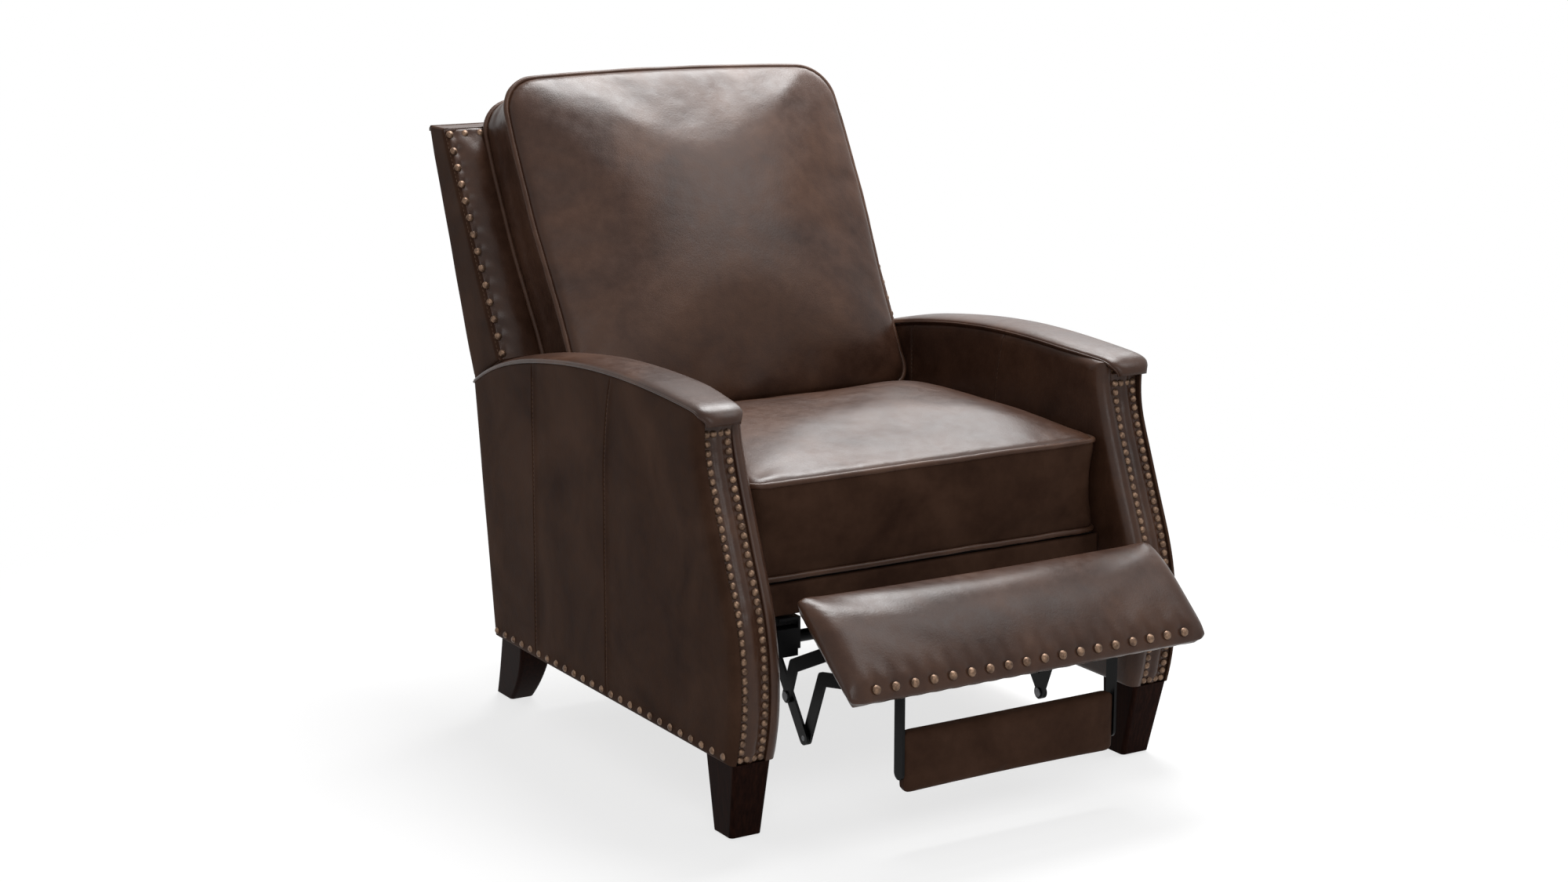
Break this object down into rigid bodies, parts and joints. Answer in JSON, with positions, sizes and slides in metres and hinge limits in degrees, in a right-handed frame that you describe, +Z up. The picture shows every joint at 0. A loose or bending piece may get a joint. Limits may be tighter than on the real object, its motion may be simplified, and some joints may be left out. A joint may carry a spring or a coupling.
{
  "type": "recliner armchair",
  "caption": "Push-back recliner armchair in dark brown leather with padded arms, a loose back pillow, nail-head trim, and a footrest on a folding link mechanism.",
  "frame": {"origin": "on the floor, under the middle of the chair's box with the back upright and the footrest half open", "axes": "+Z up, -Y towards the front where the sitter faces, +X to the sitter's left"},
  "size_m": [0.7678, 1.1427, 0.974],
  "materials": {
    "leather_cover": "satin",
    "leather_cushion": "satin",
    "leather_welt": "satin",
    "bronze_nail": "satin",
    "leg_wood": "satin",
    "frame_wood": "matte",
    "black_steel": "satin",
    "pin_steel": "satin",
    "spring_steel": "satin",
    "nylon": "matte",
    "webbing": "matte",
    "deck_cloth": "matte"
  },
  "bodies": {
    "base_frame": {"left_front_leg": "leg_wood", "right_front_leg": "leg_wood", "left_rear_leg": "leg_wood", "right_rear_leg": "leg_wood", "leg_glides": "nylon", "leg_bolts": "pin_steel", "pivot_pins": "pin_steel", "left_arm_frame": "frame_wood", "right_arm_frame": "frame_wood", "rear_rail": "frame_wood", "left_arm_outer_panel": "leather_cover", "right_arm_outer_panel": "leather_cover", "left_arm_inner_panel": "leather_cover", "right_arm_inner_panel": "leather_cover", "left_arm_top_pad": "leather_cover", "right_arm_top_pad": "leather_cover", "left_arm_nail_strip": "leather_cover", "right_arm_nail_strip": "leather_cover", "arm_rear_strips": "leather_cover", "rear_rail_cover": "leather_cover", "arm_front_nails": "bronze_nail", "arm_base_nails": "bronze_nail", "cross_tube": "black_steel", "mount_rails": "black_steel", "side_plates": "black_steel"},
    "backrest": {"back_stiles": "frame_wood", "back_rails": "frame_wood", "wing_blocks": "frame_wood", "back_webbing": "webbing", "back_deck": "leather_cover", "back_rear_panel": "leather_cover", "left_wing_panel": "leather_cover", "right_wing_panel": "leather_cover", "back_top_panel": "leather_cover", "back_pillow": "leather_cushion", "back_pillow_front_welt": "leather_welt", "back_pillow_rear_welt": "leather_welt", "wing_nails": "bronze_nail", "back_brackets": "black_steel"},
    "seat": {"seat_frame": "frame_wood", "seat_front_rail": "leather_cover", "seat_springs": "spring_steel", "seat_deck": "deck_cloth", "seat_glides": "nylon", "seat_cushion": "leather_cushion", "seat_top_welt": "leather_welt", "seat_bottom_welt": "leather_welt"},
    "swing_links": {"swing_links": "black_steel", "swing_tube": "black_steel", "link_pins": "pin_steel"},
    "lift_links": {"lift_links": "black_steel"},
    "guide_links": {"guide_links": "black_steel"},
    "footrest": {"footrest_board": "frame_wood", "footrest_pad": "leather_cushion", "footrest_nails": "bronze_nail", "footrest_brackets": "black_steel", "footrest_pins": "pin_steel"},
    "flap": {"flap_pad": "leather_cushion", "flap_hangers": "black_steel", "flap_pins": "pin_steel"}
  },
  "joints": [
    {"name": "back_recline", "type": "hinge", "parent": "base_frame", "child": "backrest", "pos_m": [0, 0.3, 0.33], "axis": [-1, 0, 0], "range_deg": [0, 24]},
    {"name": "seat_slide", "type": "slide", "parent": "base_frame", "child": "seat", "axis": [0, -1, 0], "range_m": [0, 0.031]},
    {"name": "footrest_swing", "type": "hinge", "parent": "base_frame", "child": "swing_links", "pos_m": [0, -0.196, 0.262], "axis": [-1, 0, 0], "range_deg": [-54.4, 34]},
    {"name": "lift_pivot", "type": "hinge", "parent": "swing_links", "child": "lift_links", "pos_m": [0, -0.31, 0.103], "axis": [-1, 0, 0], "range_deg": [-34.5, 55]},
    {"name": "guide_pivot", "type": "hinge", "parent": "swing_links", "child": "guide_links", "pos_m": [0, -0.27238, 0.15547], "axis": [-1, 0, 0], "range_deg": [-34.5, 55]},
    {"name": "footrest_pivot", "type": "hinge", "parent": "lift_links", "child": "footrest", "pos_m": [0, -0.491, 0.226], "axis": [-1, 0, 0], "range_deg": [-55, 34.5]},
    {"name": "flap_hinge", "type": "hinge", "parent": "footrest", "child": "flap", "pos_m": [0, -0.50801, 0.24399], "axis": [-1, 0, 0], "range_deg": [-66, 41.5]}
  ],
  "couplings": [
    {"joint": "seat_slide", "follows": "back_recline", "m_per_rad": 0.0716},
    {"joint": "lift_pivot", "follows": "footrest_swing", "ratio": -1},
    {"joint": "guide_pivot", "follows": "footrest_swing", "ratio": -1},
    {"joint": "footrest_pivot", "follows": "footrest_swing", "ratio": 1},
    {"joint": "flap_hinge", "follows": "footrest_swing", "ratio": 1.2}
  ]
}
